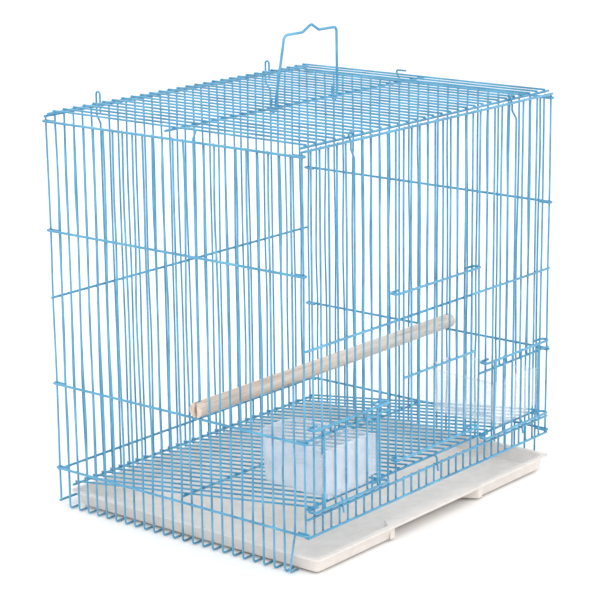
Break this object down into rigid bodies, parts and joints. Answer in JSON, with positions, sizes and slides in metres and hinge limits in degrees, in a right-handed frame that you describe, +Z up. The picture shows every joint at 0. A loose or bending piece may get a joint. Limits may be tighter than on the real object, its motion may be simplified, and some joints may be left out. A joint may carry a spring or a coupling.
{
  "type": "folding wire bird cage",
  "caption": "Box-shaped cage of welded blue wire with a bail handle, sliding wire doors, clear plastic cups, a wooden perch, a sloping wire floor and a pull-out tray.",
  "frame": {"origin": "on the ground under the middle of the wire box", "axes": "+X along the front to the viewer's right, -Y out of the front with the doors, +Z up"},
  "size_m": [0.37, 0.3004, 0.4327],
  "materials": {
    "blue_wire": "gloss",
    "pale_wood": "matte",
    "clear_plastic": "gloss",
    "white_plastic": "satin"
  },
  "bodies": {
    "walls": {"front_uprights": "blue_wire", "front_head_uprights": "blue_wire", "front_short_uprights": "blue_wire", "front_cup_uprights": "blue_wire", "front_bars": "blue_wire", "cup_head_bars": "blue_wire", "front_latch_left": "blue_wire", "front_latch_right": "blue_wire", "back_uprights": "blue_wire", "back_bars": "blue_wire", "roof_hinge_loop_left": "blue_wire", "roof_hinge_loop_right": "blue_wire", "left_uprights": "blue_wire", "left_bars": "blue_wire", "left_latch": "blue_wire", "right_uprights": "blue_wire", "right_bars": "blue_wire", "right_latch": "blue_wire", "floor_bars": "blue_wire", "floor_wires": "blue_wire", "floor_hooks": "blue_wire"},
    "roof": {"roof_bars": "blue_wire", "roof_wires": "blue_wire"},
    "handle": {"handle": "blue_wire"},
    "main_door": {"main_door_uprights": "blue_wire", "main_door_bars": "blue_wire"},
    "left_cup_door": {"left_cup_door_uprights": "blue_wire", "left_cup_door_bars": "blue_wire"},
    "right_cup_door": {"right_cup_door_uprights": "blue_wire", "right_cup_door_bars": "blue_wire"},
    "perch": {"perch": "pale_wood"},
    "left_cup": {"left_cup": "clear_plastic"},
    "right_cup": {"right_cup": "clear_plastic"},
    "tray": {"tray": "white_plastic"}
  },
  "joints": [
    {"name": "roof_swing", "type": "hinge", "parent": "walls", "child": "roof", "pos_m": [0, 0.1417, 0.3618], "axis": [-1, 0, 0], "range_deg": [0, 105]},
    {"name": "handle_swing", "type": "hinge", "parent": "roof", "child": "handle", "pos_m": [0, 0, 0.3618], "axis": [1, 0, 0], "range_deg": [-91, 74]},
    {"name": "main_door_slide", "type": "slide", "parent": "walls", "child": "main_door", "axis": [0, 0, 1], "range_m": [-0.017, 0.118]},
    {"name": "left_cup_door_slide", "type": "slide", "parent": "walls", "child": "left_cup_door", "axis": [0, 0, 1], "range_m": [-0.0025, 0.056]},
    {"name": "right_cup_door_slide", "type": "slide", "parent": "walls", "child": "right_cup_door", "axis": [0, 0, 1], "range_m": [-0.0025, 0.056]},
    {"name": "tray_slide", "type": "slide", "parent": "walls", "child": "tray", "axis": [0, -1, 0], "range_m": [-0.005, 0.27]},
    {"name": "perch_lift", "type": "slide", "parent": "walls", "child": "perch", "axis": [0, 0, 1], "range_m": [0, 0.12]},
    {"name": "left_cup_lift", "type": "slide", "parent": "walls", "child": "left_cup", "axis": [0, 0, 1], "range_m": [0, 0.012]},
    {"name": "right_cup_lift", "type": "slide", "parent": "walls", "child": "right_cup", "axis": [0, 0, 1], "range_m": [0, 0.012]}
  ]
}
